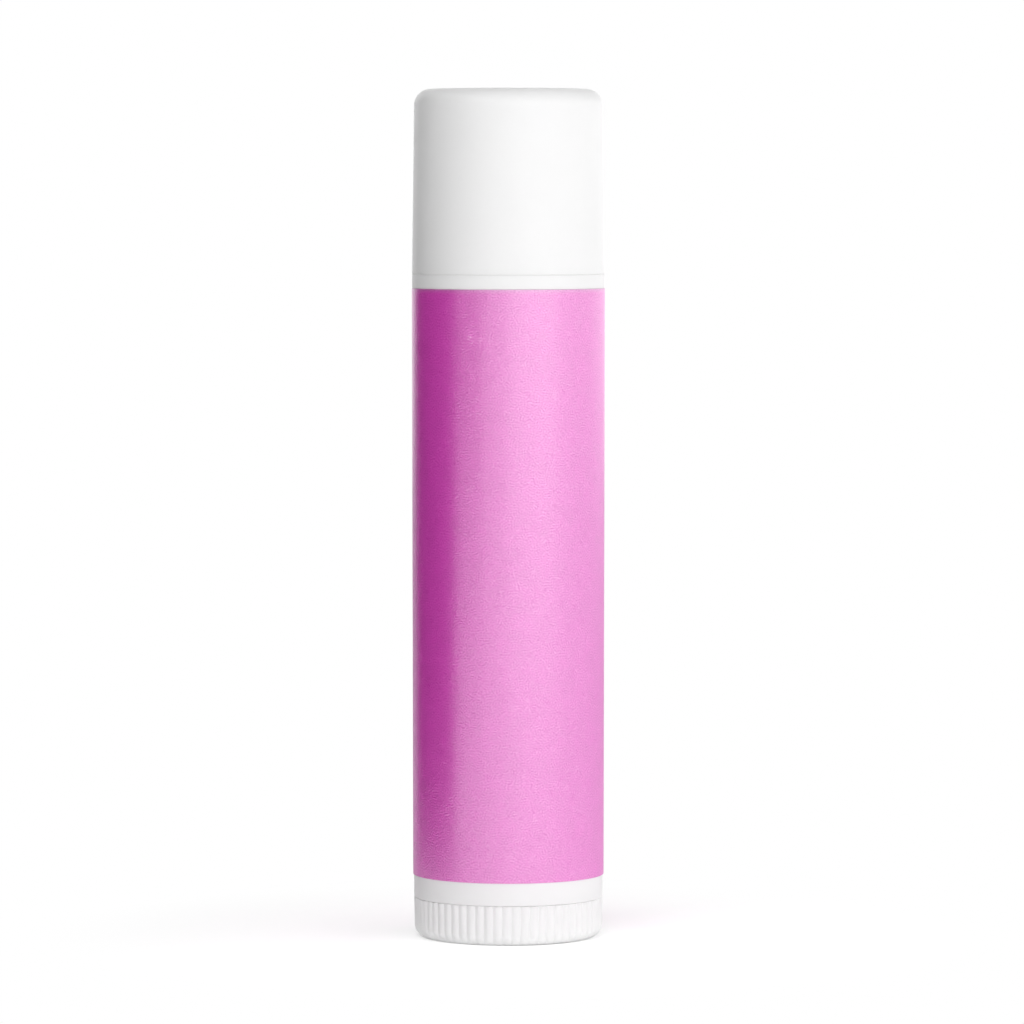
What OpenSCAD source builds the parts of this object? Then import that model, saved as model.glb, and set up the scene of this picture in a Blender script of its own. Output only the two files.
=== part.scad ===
// Twist-up lip balm stick. A push-on cap covers the neck of a barrel, and a ribbed dial under
// the barrel turns a threaded spindle that winds an elevator, with the balm cast on it, up and down.
// Millimetres, +Z up, origin at the middle of the foot. The front of the stick faces -Y.

/* [Stick] */
// Outside diameter over the dial's ribs and at the foot of the barrel
stick_d = 15.6; // [14.6:0.1:20]
// Small round on every moulded outer edge
edge_r = 0.12; // [0.05:0.01:0.3]
// Sides that draw a full circle
round_n = 96; // [48:8:160]

/* [Dial] */
// Height of the dial below the barrel
dial_h = 3.3; // [3:0.1:8]
// Running gap between the dial and the foot of the barrel
dial_gap = 0.12; // [0.05:0.01:0.4]
// Mould draft of the dial, taken off its radius at the foot
dial_draft = 0.04; // [0:0.01:0.15]
// Thickness of the dial's floor
dial_floor_t = 1.2; // [0.9:0.1:1.6]
// Thickness of the dial's skirt, ribs included
dial_wall_t = 1.25; // [0.9:0.05:1.6]
// Round at the dial's lower edge
dial_round_r = 1.0; // [0.4:0.1:1.4]
// Number of grip ribs round the dial
rib_n = 64; // [24:1:80]
// Radius of a rib's rounded crest
rib_r = 0.45; // [0.3:0.01:0.7]
// Height of a rib above the groove beside it
rib_h = 0.14; // [0.08:0.01:0.25]
// Turn of the ribs about the axis when the balm is wound down, in degrees
rib_turn = -1; // [-3:0.5:3]
// Diameter of the shallow recess inside the foot ring
recess_d = 10.4; // [6:0.1:11]
// Depth of that recess
recess_depth = 0.35; // [0.1:0.05:0.6]
// Diameter of the gate mark in the middle of the recess
gate_d = 1.6; // [0.8:0.1:3]
// Depth of the gate mark
gate_depth = 0.2; // [0.05:0.05:0.25]

/* [Bearing] */
// Diameter of the journal that turns in the barrel's floor
journal_d = 6.0; // [5.4:0.1:6.6]
// Radial running clearance of the journal
journal_gap = 0.08; // [0.02:0.01:0.1]
// Width of the shoulder that the barrel's floor rides on
thrust_w = 1.0; // [0.5:0.1:1.4]
// Axial clearance at the shoulder
thrust_gap = 0.05; // [0.02:0.01:0.1]
// Overhang of the snap barb past the hole in the barrel's floor
barb_w = 0.35; // [0.15:0.05:0.5]
// Height of the snap barb
barb_h = 0.9; // [0.5:0.1:1.4]
// Clearance between the barb and the barrel's floor
barb_gap = 0.1; // [0.05:0.01:0.2]

/* [Spindle] */
// Diameter over the thread
thread_d = 4.4; // [4:0.1:4.8]
// Depth of the thread
thread_depth = 0.6; // [0.3:0.05:0.8]
// Rise of the balm in one turn of the dial
thread_lead = 5; // [3:0.5:8]
// Number of thread starts
thread_starts = 2; // [1:1:2]
// Length of the plain tip above the thread
tip_h = 0.8; // [0.4:0.1:2]
// Step in from the thread's root to the tip
tip_step = 0.3; // [0.2:0.05:0.5]
// Distance from the neck's rim down to the spindle's tip
spindle_drop = 6.2; // [4:0.1:10]

/* [Barrel] */
// Height of the bare band between the dial and the label
band_h = 1.78; // [1:0.01:6]
// Height of the bare collar between the label and the cap
collar_h = 1.15; // [0.6:0.05:4]
// Mould draft of the barrel, added to its radius at the top
barrel_draft = 0.075; // [0:0.005:0.2]
// Step from the label panel out to the collar
collar_step = 0.07; // [0.02:0.01:0.2]
// Thickness of the barrel's floor
barrel_floor_t = 1.2; // [0.8:0.1:1.8]
// Height of the neck above the shoulder
neck_h = 12.0; // [9:0.1:13]
// Wall of the neck
neck_wall_t = 0.95; // [0.7:0.05:1.3]
// Chamfer inside the neck's rim
rim_chamfer = 0.3; // [0.1:0.05:0.5]
// Height of the cap's stop bead above the shoulder
bead_up = 3.0; // [1.5:0.1:6]
// Width of that bead
bead_w = 0.9; // [0.5:0.1:1.5]
// Rise of that bead out of the neck
bead_rise = 0.07; // [0.03:0.01:0.1]
// Length of the spigot that reaches down into the dial
spigot_h = 1.3; // [0.6:0.1:1.8]
// Wall of the spigot
spigot_t = 0.9; // [0.6:0.1:1.2]
// Radial clearance between the spigot and the dial's skirt
spigot_gap = 0.15; // [0.05:0.01:0.3]
// Clearance between the spigot's end and the dial's floor, and round its inside
spigot_end_gap = 0.3; // [0.1:0.05:0.6]
// Number of guide ribs in the bore
guide_n = 4; // [2:1:6]
// Width of a guide rib
guide_w = 1.0; // [0.6:0.1:1.6]
// Height of a guide rib out of the wall
guide_h = 0.5; // [0.3:0.05:0.7]
// Distance from the rim down to the top of the guide ribs
guide_drop = 3.0; // [1:0.1:5]

/* [Cap] */
// Height of the cap
cap_h = 15.2; // [15:0.1:24]
// Mould draft of the cap, taken off its radius at the top
cap_draft = 0.2; // [0:0.01:0.3]
// Wall of the cap at its mouth
cap_wall_t = 1.05; // [0.9:0.05:1.4]
// Thickness of the cap's top
cap_top_t = 1.0; // [0.8:0.1:1.6]
// Round of the cap's upper edge
cap_round_r = 1.3; // [0.5:0.1:1.6]
// Fillet inside the cap's top
cap_fillet_r = 0.5; // [0.2:0.1:0.8]
// Lead-in chamfer inside the cap's mouth
cap_lead_in = 0.3; // [0.1:0.05:0.5]
// Radial clearance between the cap and the neck
cap_gap = 0.12; // [0.11:0.01:0.2]

/* [Label] */
// Height of the label
label_h = 48.45; // [38:0.05:60]
// Thickness of the label
label_t = 0.08; // [0.05:0.01:0.15]
// Adhesive film under the label
label_glue = 0.01; // [0.005:0.005:0.03]
// Gap between the label's top edge and the collar
label_edge_gap = 0.04; // [0.02:0.01:0.2]
// Width of the lap where the label's end covers its start, at the back
lap_w = 3.0; // [1:0.5:6]

/* [Elevator] */
// Height of the elevator
elevator_h = 11.3; // [10:0.1:14]
// Depth of the cup in its top, which holds the balm
cup_h = 3.2; // [2:0.1:5]
// Wall of the elevator
elevator_wall_t = 0.8; // [0.6:0.05:1.1]
// Thickness of the floor between its cup and its skirt
elevator_floor_t = 1.0; // [0.8:0.1:1.6]
// Radial clearance between the elevator and the bore
elevator_gap = 0.1; // [0.05:0.01:0.1]
// Clearance between the elevator and the barrel's floor when wound down
rest_gap = 0.3; // [0.1:0.05:0.4]
// Diameter of the threaded hub
hub_d = 7.2; // [6.6:0.1:8]
// Least width of the ring of balm between the hub and the cup's wall
ring_w = 0.4; // [0.3:0.1:0.8]
// Rise of the hub above the cup's floor
hub_rise = 1.2; // [0.5:0.1:2]
// Clearance between the hub and the spindle's barb when wound down
hub_gap = 0.3; // [0.1:0.05:0.4]
// Clearance between the thread and the hub
thread_gap = 0.15; // [0.12:0.01:0.2]
// Clearance each side of a guide rib
guide_gap = 0.12; // [0.08:0.01:0.2]
// Number of fins that key the balm in the cup
fin_n = 4; // [2:1:6]
// Thickness of a fin
fin_t = 0.7; // [0.5:0.1:1]
// Height of a fin above the cup's floor
fin_h = 2.2; // [1:0.1:3]

/* [Balm] */
// Radial clearance between the balm and the bore
balm_gap = 0.08; // [0.03:0.01:0.1]
// Clearance between the balm and the spindle's thread
balm_bore_gap = 0.1; // [0.05:0.01:0.2]
// Room over the spindle's tip
tip_room = 0.3; // [0.1:0.1:1]
// Film of space where the cast balm meets the elevator
cast_gap = 0.02; // [0.01:0.01:0.05]
// Distance from the neck's rim down to the balm's edge
balm_drop = 0.5; // [0.2:0.1:3]
// Rise of the domed top above the balm's edge
dome_h = 0.9; // [0.3:0.1:1.2]

/* [Hidden] */

$fn = round_n;
// Straight pieces in a large round, in a small one and in the dial's round under its ribs
ARC_N = 8;
EDGE_N = 4;
DIAL_ARC_N = 5;
// Sides of the circle that draws a rib's crest
RIB_SIDES = 24;
// Points round the thread and its slices in one turn
THREAD_POINTS = 8;
THREAD_SLICES = 16;
// Overlap that makes a cut or a union clean
CUT = 0.5;

// Heights of the stick's faces, from the foot up
barrel_z = dial_h + dial_gap;
label_z = barrel_z + band_h;
label_top_z = label_z + label_h;
shoulder_z = label_top_z + collar_h;
rim_z = shoulder_z + neck_h;
cap_top_z = shoulder_z + cap_h;
floor_top_z = barrel_z + barrel_floor_t;

// Outer radii
stick_r = stick_d / 2;
panel_top_r = stick_r + barrel_draft;
collar_r = panel_top_r + collar_step;
cap_top_r = collar_r - cap_draft;

// Radii of the fits, from the cap inwards
cap_bore_r = collar_r - cap_wall_t;
neck_r = cap_bore_r - cap_gap;
bore_r = neck_r - neck_wall_t;
balm_r = bore_r - balm_gap;
elevator_r = bore_r - elevator_gap;
cup_r = elevator_r - elevator_wall_t;

// Bearing between the dial and the barrel
journal_r = journal_d / 2;
hole_r = journal_r + journal_gap;
boss_r = hole_r + thrust_w;
boss_z = barrel_z - thrust_gap;
skirt_in_r = stick_r - dial_wall_t;
spigot_out_r = skirt_in_r - spigot_gap;
spigot_in_r = max(spigot_out_r - spigot_t, boss_r + spigot_end_gap);
spigot_z = max(barrel_z - spigot_h, dial_floor_t + spigot_end_gap);
barb_r = hole_r + barb_w;
barb_z = floor_top_z + barb_gap;
barb_top_z = barb_z + barb_h;
guide_top_z = rim_z - guide_drop;

// Spindle and the hub that climbs it
thread_r = thread_d / 2;
root_r = thread_r - thread_depth;
tip_r = root_r - tip_step;
tip_z = rim_z - spindle_drop;
thread_top_z = tip_z - tip_h;
hub_r = min(hub_d / 2, cup_r - ring_w);
hub_z = barb_top_z + hub_gap;

// Elevator when wound down
elevator_z = floor_top_z + rest_gap;
cup_top_z = elevator_z + elevator_h;
cup_z = cup_top_z - cup_h;
hub_top_z = cup_z + hub_rise;

// Balm
balm_edge_z = rim_z - balm_drop;
balm_bore_r = thread_r + balm_bore_gap;

// Radius of the barrel's tapered wall at a height
function panel_r(z) = stick_r + barrel_draft * (z - barrel_z) / (label_top_z - barrel_z);

// Points of a round in the half section: centre, radius, first and last angle
function arc(centre, r, from, to, n = ARC_N) =
    [for (i = [0:n]) let (a = from + (to - from) * i / n) centre + r * [cos(a), sin(a)]];

// Radius of the spindle's outline at an angle, one crest for each start
function crest_r(a) = root_r + thread_depth * (1 + cos(thread_starts * a)) / 2;

// A left-hand helix, so that the dial lifts the hub as it turns anticlockwise seen from above.
// Its phase follows the height alone, so the spindle and the hub are always in mesh.
module thread(z0, z1, grow) {
    turn = 360 / thread_lead;
    translate([0, 0, z0])
        rotate(-turn * z0)
            linear_extrude(
                height = z1 - z0,
                twist = turn * (z1 - z0),
                slices = ceil(THREAD_SLICES * (z1 - z0) / thread_lead),
                $fn = THREAD_POINTS
            )
                polygon([
                    for (i = [0:THREAD_POINTS - 1])
                        let (a = 360 * i / THREAD_POINTS) (crest_r(a) + grow) * [cos(a), sin(a)]
                ]);
}

// The bars that guide the elevator, or with a gap the slots that run over them
module guides(z0, z1, gap) {
    for (i = [0:guide_n - 1])
        rotate(360 * (i + 0.5) / guide_n)
            translate([bore_r - guide_h - gap, -guide_w / 2 - gap, z0])
                cube([guide_h + gap + neck_wall_t / 2, guide_w + 2 * gap, z1 - z0]);
}

// The fins in the elevator's cup, or with a gap the slots that the balm leaves round them
module fins(gap) {
    for (i = [0:fin_n - 1])
        rotate(360 * i / fin_n)
            translate([hub_r - CUT, -fin_t / 2 - gap, cup_z - CUT])
                cube([cup_r - hub_r + CUT + elevator_wall_t / 2, fin_t + 2 * gap, fin_h + CUT + gap]);
}

// Cap: a drafted shell that slides over the neck and stands on the shoulder
module cap() {
    color("white")
        rotate_extrude()
            polygon(concat(
                [[cap_bore_r + cap_lead_in, shoulder_z]],
                arc([collar_r - edge_r, shoulder_z + edge_r], edge_r, -90, 0, EDGE_N),
                arc([cap_top_r - cap_round_r, cap_top_z - cap_round_r], cap_round_r, 0, 90),
                [[0, cap_top_z], [0, cap_top_z - cap_top_t]],
                arc(
                    [cap_bore_r - cap_fillet_r, cap_top_z - cap_top_t - cap_fillet_r],
                    cap_fillet_r, 90, 0, EDGE_N
                ),
                [[cap_bore_r, shoulder_z + cap_lead_in]]
            ));
}

// Barrel: floor, spigot, tapered label panel, collar and neck in one moulding
module barrel() {
    color("white") {
        rotate_extrude()
            polygon(concat(
                [
                    [hole_r, barrel_z],
                    [spigot_in_r, barrel_z],
                    [spigot_in_r, spigot_z],
                    [spigot_out_r, spigot_z],
                    [spigot_out_r, barrel_z]
                ],
                arc([stick_r - edge_r, barrel_z + edge_r], edge_r, -90, 0, EDGE_N),
                [[panel_top_r, label_top_z], [collar_r, label_top_z]],
                arc([collar_r - edge_r, shoulder_z - edge_r], edge_r, 0, 90, EDGE_N),
                [
                    [neck_r, shoulder_z],
                    [neck_r, shoulder_z + bead_up],
                    [neck_r + bead_rise, shoulder_z + bead_up + bead_w / 3],
                    [neck_r + bead_rise, shoulder_z + bead_up + 2 * bead_w / 3],
                    [neck_r, shoulder_z + bead_up + bead_w]
                ],
                arc([neck_r - edge_r, rim_z - edge_r], edge_r, 0, 90, EDGE_N),
                [
                    [bore_r + rim_chamfer, rim_z],
                    [bore_r, rim_z - rim_chamfer],
                    [bore_r, floor_top_z],
                    [hole_r, floor_top_z]
                ]
            ));
        guides(floor_top_z - barrel_floor_t / 2, guide_top_z, 0);
    }
}

// Half section of one layer of the label, standing off the panel by a distance
module label_layer(off, t) {
    top_z = label_top_z - label_edge_gap;
    polygon([
        [panel_r(label_z) + off, label_z],
        [panel_r(label_z) + off + t, label_z],
        [panel_r(top_z) + off + t, top_z],
        [panel_r(top_z) + off, top_z]
    ]);
}

// Label: a film wrapped once round the barrel, with its end lapped over its start at the back
module label() {
    lap_angle = 360 * lap_w / (2 * PI * stick_r);
    color("orchid") {
        rotate_extrude()
            label_layer(label_glue, label_t);
        rotate(90 - lap_angle / 2)
            rotate_extrude(angle = lap_angle)
                label_layer(label_glue + label_t / 2, label_t * 3 / 2);
    }
}

// Outline of the ribbed grip, seen from above
module grip_outline() {
    circle(r = stick_r - rib_h);
    for (i = [0:rib_n - 1])
        rotate(rib_turn + 360 * i / rib_n)
            translate([stick_r - rib_r, 0])
                circle(r = rib_r, $fn = RIB_SIDES);
}

// Dial: ribbed grip, bearing and threaded spindle in one moulding
module dial() {
    foot_r = stick_r - dial_draft;
    color("white") {
        difference() {
            intersection() {
                rotate_extrude()
                    polygon(concat(
                        [[0, 0]],
                        arc([foot_r - dial_round_r, dial_round_r], dial_round_r, -90, 0, DIAL_ARC_N),
                        [[stick_r, dial_h - edge_r], [stick_r - edge_r, dial_h], [0, dial_h]]
                    ));
                linear_extrude(dial_h)
                    grip_outline();
            }
            translate([0, 0, dial_floor_t])
                cylinder(r = skirt_in_r, h = dial_h);
            translate([0, 0, -CUT])
                cylinder(r = recess_d / 2, h = recess_depth + CUT);
            cylinder(r = gate_d / 2, h = recess_depth + gate_depth);
        }
        rotate_extrude()
            polygon([
                [0, dial_floor_t - gate_depth],
                [boss_r, dial_floor_t - gate_depth],
                [boss_r, boss_z],
                [journal_r, boss_z],
                [journal_r, barb_z],
                [barb_r, barb_z],
                [barb_r, barb_z + barb_h / 3],
                [thread_r, barb_top_z],
                [0, barb_top_z]
            ]);
        thread(barb_top_z - barb_h / 2, thread_top_z, 0);
        rotate_extrude()
            polygon([
                [0, thread_top_z - CUT],
                [tip_r, thread_top_z - CUT],
                [tip_r, tip_z - tip_h / 2],
                [tip_r - tip_h / 2, tip_z],
                [0, tip_z]
            ]);
    }
}

// Elevator: a cup with a threaded hub, keyed to the barrel by slots over its guide ribs
module elevator() {
    color("whitesmoke")
        difference() {
            union() {
                rotate_extrude()
                    polygon([
                        [0, hub_z],
                        [hub_r, hub_z],
                        [hub_r, cup_z - elevator_floor_t],
                        [cup_r, cup_z - elevator_floor_t],
                        [cup_r, elevator_z],
                        [elevator_r, elevator_z],
                        [elevator_r, cup_top_z],
                        [cup_r, cup_top_z],
                        [cup_r, cup_z],
                        [hub_r, cup_z],
                        [hub_r, hub_top_z],
                        [0, hub_top_z]
                    ]);
                fins(0);
            }
            guides(elevator_z - CUT, cup_top_z + CUT, guide_gap);
            thread(hub_z - CUT, hub_top_z + CUT, thread_gap);
        }
}

// Balm: cast in the elevator's cup and round the spindle, with a domed top
module balm() {
    dome_r = (pow(balm_r, 2) + pow(dome_h, 2)) / (2 * dome_h);
    dome_a = asin(balm_r / dome_r);
    bore_top_z = tip_z + tip_room;
    color("ivory")
        difference() {
            rotate_extrude()
                polygon(concat(
                    [
                        [hub_r + cast_gap, cup_z],
                        [cup_r - cast_gap, cup_z],
                        [cup_r - cast_gap, cup_top_z],
                        [balm_r, cup_top_z]
                    ],
                    arc([0, balm_edge_z + dome_h - dome_r], dome_r, 90 - dome_a, 90),
                    [
                        [0, bore_top_z],
                        [balm_bore_r, bore_top_z],
                        [balm_bore_r, hub_top_z],
                        [hub_r + cast_gap, hub_top_z]
                    ]
                ));
            guides(cup_z - CUT, guide_top_z + guide_gap, guide_gap);
            fins(cast_gap);
        }
}

cap();
barrel();
label();
dial();
elevator();
balm();
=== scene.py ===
"""Twist-up lip balm stick on a white sweep: its pieces, finishes, lamps and camera.

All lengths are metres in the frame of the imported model: +Z up, the middle of the foot at the origin, the
front facing -Y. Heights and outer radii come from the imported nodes. Walls, rounds and fits are the
properties below.
"""
import math

import bmesh
import bpy
from bpy.props import FloatProperty, FloatVectorProperty, IntProperty, PointerProperty
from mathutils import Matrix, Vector


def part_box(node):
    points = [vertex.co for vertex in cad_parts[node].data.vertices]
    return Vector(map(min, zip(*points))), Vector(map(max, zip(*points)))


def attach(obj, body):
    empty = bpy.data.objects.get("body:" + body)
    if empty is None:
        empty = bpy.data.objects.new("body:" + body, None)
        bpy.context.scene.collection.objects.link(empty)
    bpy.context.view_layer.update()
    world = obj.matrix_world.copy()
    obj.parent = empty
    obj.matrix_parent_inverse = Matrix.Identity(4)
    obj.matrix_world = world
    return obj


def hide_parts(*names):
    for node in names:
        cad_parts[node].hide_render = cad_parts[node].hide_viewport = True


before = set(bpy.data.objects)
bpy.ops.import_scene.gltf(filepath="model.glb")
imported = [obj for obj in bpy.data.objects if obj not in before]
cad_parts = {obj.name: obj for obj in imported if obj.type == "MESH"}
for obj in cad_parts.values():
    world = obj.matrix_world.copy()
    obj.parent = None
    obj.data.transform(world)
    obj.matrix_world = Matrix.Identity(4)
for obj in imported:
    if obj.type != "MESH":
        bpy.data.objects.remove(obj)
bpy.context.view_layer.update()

bl_info = {
    "name": "Lip balm stick",
    "version": (1, 0, 0),
    "blender": (4, 5, 0),
    "location": "3D View > Sidebar > Lip balm",
    "description": "Models a twist-up lip balm stick, its finishes and the studio round it",
    "category": "Add Mesh",
}

MM = 0.001
# Smallest distance between two points that are kept apart
WELD = 0.001 * MM
# Angle above which an edge stays crisp when a piece is shaded smooth
CRISP = math.radians(28)


def linear(code):
    """The linear colour of an sRGB hex code."""
    levels = [int(code[i:i + 2], 16) / 255 for i in (1, 3, 5)]
    return [v / 12.92 if v <= 0.04045 else ((v + 0.055) / 1.055) ** 2.4 for v in levels]


def length(name, description, mm):
    """A length property with its default in millimetres."""
    return FloatProperty(name=name, description=description, default=mm * MM, unit="LENGTH")


def brightness(name, description, level):
    """A property for the radiance of a lit surface."""
    return FloatProperty(name=name, description=description, default=level, min=0)


def paint(name, description, code):
    """A colour property with its default as an sRGB hex code."""
    return FloatVectorProperty(
        name=name, description=description, default=linear(code), subtype="COLOR", min=0, max=1
    )


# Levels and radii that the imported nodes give

SHOULDER_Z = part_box("cap")[0].z
CAP_TOP_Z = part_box("cap")[1].z
COLLAR_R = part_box("cap")[1].x
LABEL_LOW_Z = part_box("label")[0].z
LABEL_HIGH_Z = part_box("label")[1].z
RIM_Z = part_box("barrel")[1].z
SPIGOT_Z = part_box("barrel")[0].z
SPINDLE_TIP_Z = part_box("dial")[1].z
ELEVATOR_HIGH_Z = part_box("elevator")[1].z
BALM_LOW_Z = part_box("balm")[0].z
BALM_HIGH_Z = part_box("balm")[1].z


class StickSizes(bpy.types.PropertyGroup):
    """Walls, rounds and fits of the stick's pieces."""

    lathe_steps: IntProperty(
        name="Lathe steps", description="Faces round a turned piece", default=180, min=24
    )
    stick_r: length("Stick radius", "Radius at the foot of the barrel", 7.8)
    panel_draft: length("Barrel draft", "Growth of the barrel's radius up to the collar", 0.075)
    edge_r: length("Edge round", "Small round on moulded edges", 0.12)
    line_r: length("Line round", "Round each side of the lines where cap and dial meet the barrel", 0.06)
    cap_draft: length("Cap draft", "Mould draft of the cap, taken off its radius at the top", 0.2)
    cap_round_r: length("Cap round", "Round of the cap's upper edge", 1.3)
    cap_wall_t: length("Cap wall", "Wall of the cap at its mouth", 1.05)
    cap_top_t: length("Cap top", "Thickness of the cap's top", 1.0)
    cap_lead_in: length("Cap lead-in", "Chamfer inside the cap's mouth", 0.3)
    cap_gap: length("Cap clearance", "Radial clearance between cap and neck", 0.12)
    gate_r: length("Gate mark", "Radius of the moulding gate's dimple", 0.8)
    gate_depth: length("Gate depth", "Depth of the moulding gate's dimple", 0.15)
    gate_edge_r: length("Gate round", "Round of that dimple's edges", 0.06)
    ceiling_r: length("Ceiling round", "Round inside the cap's top", 0.5)
    neck_wall_t: length("Neck wall", "Wall of the neck", 0.95)
    bead_up: length("Bead height", "Height of the cap's stop bead above the shoulder", 3.0)
    bead_w: length("Bead width", "Width of the cap's stop bead", 0.9)
    bead_rise: length("Bead rise", "Rise of that bead out of the neck", 0.07)
    rim_chamfer: length("Rim chamfer", "Chamfer inside the neck's rim", 0.3)
    label_gap: length("Label gap", "Gap between the label's top edge and the collar", 0.04)
    collar_edge_r: length("Collar edge", "Round at the collar's lower edge", 0.04)
    label_edge_r: length("Label edge", "Round that the knife leaves on the film's edges", 0.015)
    label_t: length("Label thickness", "Thickness of the label's film", 0.08)
    glue_t: length("Adhesive", "Adhesive film under the label", 0.01)
    lap_w: length("Label lap", "Width of the lap at the back", 3.0)
    climb_w: length("Label climb", "Width over which the film climbs onto its own start", 0.3)
    dial_h: length("Dial height", "Height of the dial below the barrel", 3.3)
    dial_gap: length("Dial gap", "Running gap between dial and barrel", 0.015)
    dial_draft: length("Dial draft", "Mould draft of the dial, taken off its radius at the foot", 0.04)
    dial_round_r: length("Dial round", "Round at the dial's lower edge", 1.0)
    dial_wall_t: length("Dial wall", "Thickness of the dial's skirt", 1.25)
    dial_floor_t: length("Dial floor", "Thickness of the dial's floor", 1.2)
    rib_n: IntProperty(name="Ribs", description="Number of grip ribs round the dial", default=64, min=12)
    rib_r: length("Rib crest", "Radius of a rib's rounded crest", 0.45)
    rib_h: length("Rib height", "Height of a rib above its groove", 0.14)
    groove_end_z: length("Groove end", "Height at which the grooves between the ribs run out", 0.06)
    groove_fade_h: length("Groove fade", "Height over which they run out", 0.3)
    rib_turn: FloatProperty(
        name="Rib turn", description="Turn of the ribs about the axis", default=math.radians(-1),
        unit="ROTATION"
    )
    rib_blend_w: length("Rib blend", "Width at the dial's top over which the ribs' waves die out", 0.4)
    recess_r: length("Foot recess", "Radius of the recess inside the foot ring", 5.2)
    recess_depth: length("Recess depth", "Depth of the foot's recess", 0.35)
    recess_edge_w: length("Recess edge", "Width of the slope at the recess's edge", 0.1)
    recess_edge_h: length("Recess edge height", "Height of that slope", 0.06)
    journal_r: length("Journal", "Radius of the journal in the barrel's floor", 3.0)
    journal_gap: length("Journal clearance", "Radial clearance of the journal", 0.08)
    thrust_w: length("Thrust shoulder", "Width of the shoulder under the barrel's floor", 1.0)
    thrust_gap: length("Thrust clearance", "Axial clearance at that shoulder", 0.05)
    barb_w: length("Barb", "Overhang of the snap barb past its hole", 0.35)
    barb_h: length("Barb height", "Height of the snap barb", 0.9)
    barb_gap: length("Barb clearance", "Clearance between barb and floor", 0.1)
    thread_r: length("Thread radius", "Radius over the spindle's thread", 2.2)
    thread_depth: length("Thread depth", "Depth of the spindle's thread", 0.6)
    thread_lead: length("Thread lead", "Rise in one turn of the dial", 5)
    tip_h: length("Spindle tip", "Length of the plain tip above the thread", 0.8)
    tip_step: length("Tip step", "Step from the thread's root in to that tip", 0.3)
    floor_t: length("Barrel floor", "Thickness of the barrel's floor", 1.2)
    spigot_t: length("Spigot wall", "Wall of the spigot that reaches into the dial", 0.9)
    spigot_gap: length("Spigot clearance", "Clearance between spigot and dial", 0.15)
    guide_w: length("Guide width", "Width of a guide rib in the bore", 1.0)
    guide_h: length("Guide height", "Height of a guide rib out of the wall", 0.5)
    guide_drop: length("Guide drop", "Distance from the rim down to the guides' top", 3.0)
    guide_gap: length("Guide clearance", "Clearance each side of a guide rib", 0.12)
    elevator_wall_t: length("Elevator wall", "Wall of the elevator", 0.8)
    elevator_gap: length("Elevator clearance", "Radial clearance of the elevator", 0.1)
    hub_r: length("Hub radius", "Radius of the elevator's threaded hub", 3.6)
    hub_rise: length("Hub rise", "Rise of the hub above the cup's floor", 1.2)
    balm_gap: length("Balm clearance", "Radial clearance between balm and bore", 0.08)
    balm_bore_gap: length("Balm bore", "Clearance between balm and thread", 0.1)
    cast_gap: length("Casting film", "Space where balm meets elevator", 0.02)
    tip_room: length("Tip room", "Room over the spindle's tip", 0.3)
    dome_h: length("Dome", "Rise of the balm's domed top", 0.9)
    dome_edge_r: length("Dome edge", "Round at the edge of that top", 0.18)


class StickColours(bpy.types.PropertyGroup):
    """Colours of the stick's plastics, film and balm."""

    polypropylene: paint("White polypropylene", "Pigmented plastic of the cap, barrel and dial", "#F6F6F6")
    film: paint("Label ink", "Ink of the label's pearl film", "#FD4ED9")
    film_core: paint("Film core", "Cut edge of the label's film", "#C9B7C8")
    natural: paint("Natural polypropylene", "Unpigmented plastic of the elevator", "#E9E8E2")
    balm: paint("Balm", "Wax and oil of the balm", "#F3EBD3")
    paper: paint("Sweep", "White paper that the stick stands on", "#F2F2F2")
    card: paint("Card", "Dark card at the left of the stick", "#202020")


class StudioSettings(bpy.types.PropertyGroup):
    """Camera, lamps and sweep."""

    lens: FloatProperty(
        name="Lens", description="Focal length of the camera in millimetres", default=210.9,
        subtype="DISTANCE_CAMERA"
    )
    distance: length("Distance", "Distance from the camera to the stick's axis, along the floor", 494.8)
    eye_h: length("Eye height", "Height of the camera over the floor", 62)
    pitch: FloatProperty(
        name="Pitch", description="How far the camera looks down", default=math.radians(3.107),
        unit="ROTATION"
    )
    aside: length("Aside", "How far the camera stands to the right of the stick's axis", 0.3)
    reach: length("Reach", "Distance from the stick to the softboxes and walls", 500)
    aim_z: length("Aim", "Height on the stick that the softboxes and walls face", 30)
    left_box: brightness("Left softbox", "Radiance of the softbox above, left of the camera", 2.08)
    right_box: brightness("Right softbox", "Radiance of the softbox above, right of the camera", 1.45)
    side_box: brightness("Side softbox", "Radiance of the softbox above, at the right", 1.2)
    fill_box: brightness("Fill softbox", "Radiance of the softbox above the dark card at the left", 1.02)
    overhead_box: brightness(
        "Overhead softbox", "Radiance of the small softbox overhead, which lights the sweep", 8
    )
    glare: brightness(
        "Sweep glare", "Light that the camera sees on the sweep besides what the lamps give", 0.3
    )
    glow: brightness(
        "Sweep glow", "Light that comes up through the sweep round the foot, as on a light table", 0.05
    )
    walls: FloatVectorProperty(
        name="Walls",
        description="Radiance of the low walls, from the left round the front to behind at the right",
        size=8, default=(0.03, 0.08, 0.7, 1.42, 1.65, 1.23, 1.2, 1.45), min=0
    )
    backdrop: brightness("Backdrop", "Radiance of the backdrop, which is lit past white", 1.6)
    card_w: length("Card width", "Width of the dark card at the left", 98)
    card_h: length("Card height", "Height of that card", 110)
    card_x: length("Card distance", "Distance of that card to the left of the stick", 60)
    card_y: length("Card set-back", "How far the middle of that card stands behind the stick", 18)
    sweep_w: length("Sweep width", "Width of the sweep", 6000)
    overhead_w: length("Overhead width", "Width of the softbox overhead", 150)
    shadow_r: length("Shadow", "Distance from the stick's axis at which the sweep starts to pale", 10)
    shadow_end_r: length("Shadow's end", "Distance from the axis beyond which the sweep is pure white", 40)
    glow_end_r: length("Glow's end", "Distance from the axis at which the sweep's glow dies out", 90)


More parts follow.
